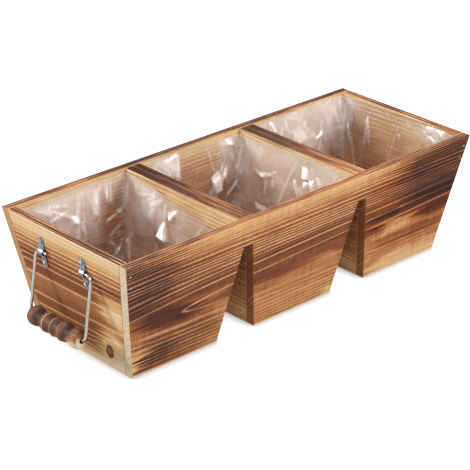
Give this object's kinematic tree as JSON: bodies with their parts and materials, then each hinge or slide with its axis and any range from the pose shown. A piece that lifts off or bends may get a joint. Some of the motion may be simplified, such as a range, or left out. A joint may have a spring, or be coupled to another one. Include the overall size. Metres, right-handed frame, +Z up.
{
  "type": "wooden planter box",
  "caption": "Long scorched-wood planter of tapered bays in a row between notched front and back boards, film-lined, with a swinging wire bail and turned grip on each end.",
  "frame": {"origin": "middle of the footprint on the ground, halfway between the ends and between front and back", "axes": "+X along the length towards the end on the right of the front, front faces -Y, +Z up"},
  "size_m": [0.5354, 0.198, 0.14],
  "materials": {
    "scorched_board": "scorched softwood, strong dark and golden grain, waxed matt",
    "pale_scorched_board": "lightly scorched softwood, pale at the rim, fine brown grain",
    "divider_board": "scorched softwood, dark rims, golden inside faces",
    "floor_board": "plain sawn softwood",
    "clear_film": "thin clear polyethylene film, creased, glossy",
    "zinc_plate": "bright zinc-plated pressed steel strap",
    "nail_steel": "plain bright steel nails",
    "bail_wire": "pale grey galvanised wire",
    "turned_grip": "turned hardwood, scorched dark brown with pale ring lines and a pale end"
  },
  "bodies": {
    "planter": {"front_panel": "scorched_board", "back_panel": "scorched_board", "left_end_panel": "pale_scorched_board", "right_end_panel": "pale_scorched_board", "bay1_right_divider": "divider_board", "bay2_left_divider": "divider_board", "bay2_right_divider": "divider_board", "bay3_left_divider": "divider_board", "bay1_floor": "floor_board", "bay2_floor": "floor_board", "bay3_floor": "floor_board", "bay1_film_liner": "clear_film", "bay2_film_liner": "clear_film", "bay3_film_liner": "clear_film", "left_front_bracket": "zinc_plate", "left_back_bracket": "zinc_plate", "right_front_bracket": "zinc_plate", "right_back_bracket": "zinc_plate", "left_front_bracket_nail_upper": "nail_steel", "left_front_bracket_nail_lower": "nail_steel", "left_back_bracket_nail_upper": "nail_steel", "left_back_bracket_nail_lower": "nail_steel", "right_front_bracket_nail_upper": "nail_steel", "right_front_bracket_nail_lower": "nail_steel", "right_back_bracket_nail_upper": "nail_steel", "right_back_bracket_nail_lower": "nail_steel", "brad_front_left_end_upper": "nail_steel", "brad_front_left_end_lower": "nail_steel", "brad_front_bay1_right_upper": "nail_steel", "brad_front_bay1_right_lower": "nail_steel", "brad_front_bay2_left_upper": "nail_steel", "brad_front_bay2_left_lower": "nail_steel", "brad_front_bay2_right_upper": "nail_steel", "brad_front_bay2_right_lower": "nail_steel", "brad_front_bay3_left_upper": "nail_steel", "brad_front_bay3_left_lower": "nail_steel", "brad_front_right_end_upper": "nail_steel", "brad_front_right_end_lower": "nail_steel", "brad_back_left_end_upper": "nail_steel", "brad_back_left_end_lower": "nail_steel", "brad_back_bay1_right_upper": "nail_steel", "brad_back_bay1_right_lower": "nail_steel", "brad_back_bay2_left_upper": "nail_steel", "brad_back_bay2_left_lower": "nail_steel", "brad_back_bay2_right_upper": "nail_steel", "brad_back_bay2_right_lower": "nail_steel", "brad_back_bay3_left_upper": "nail_steel", "brad_back_bay3_left_lower": "nail_steel", "brad_back_right_end_upper": "nail_steel", "brad_back_right_end_lower": "nail_steel"},
    "left_bail": {"left_bail_wire": "bail_wire"},
    "left_grip_body": {"left_grip": "turned_grip"},
    "right_bail": {"right_bail_wire": "bail_wire"},
    "right_grip_body": {"right_grip": "turned_grip"}
  },
  "joints": [
    {"name": "left_bail_swing", "type": "hinge", "parent": "planter", "child": "left_bail", "pos_m": [-0.24622, 0.00305, 0.10872], "axis": [0, 1, 0], "range_deg": [-12, 160]},
    {"name": "left_grip_spin", "type": "hinge", "parent": "left_bail", "child": "left_grip_body", "pos_m": [-0.25705, 0.00305, 0.04037], "axis": [0, 1, 0], "continuous": true},
    {"name": "right_bail_swing", "type": "hinge", "parent": "planter", "child": "right_bail", "pos_m": [0.24622, -0.00305, 0.10872], "axis": [0, -1, 0], "range_deg": [-12, 160]},
    {"name": "right_grip_spin", "type": "hinge", "parent": "right_bail", "child": "right_grip_body", "pos_m": [0.25705, -0.00305, 0.04037], "axis": [0, -1, 0], "continuous": true}
  ]
}
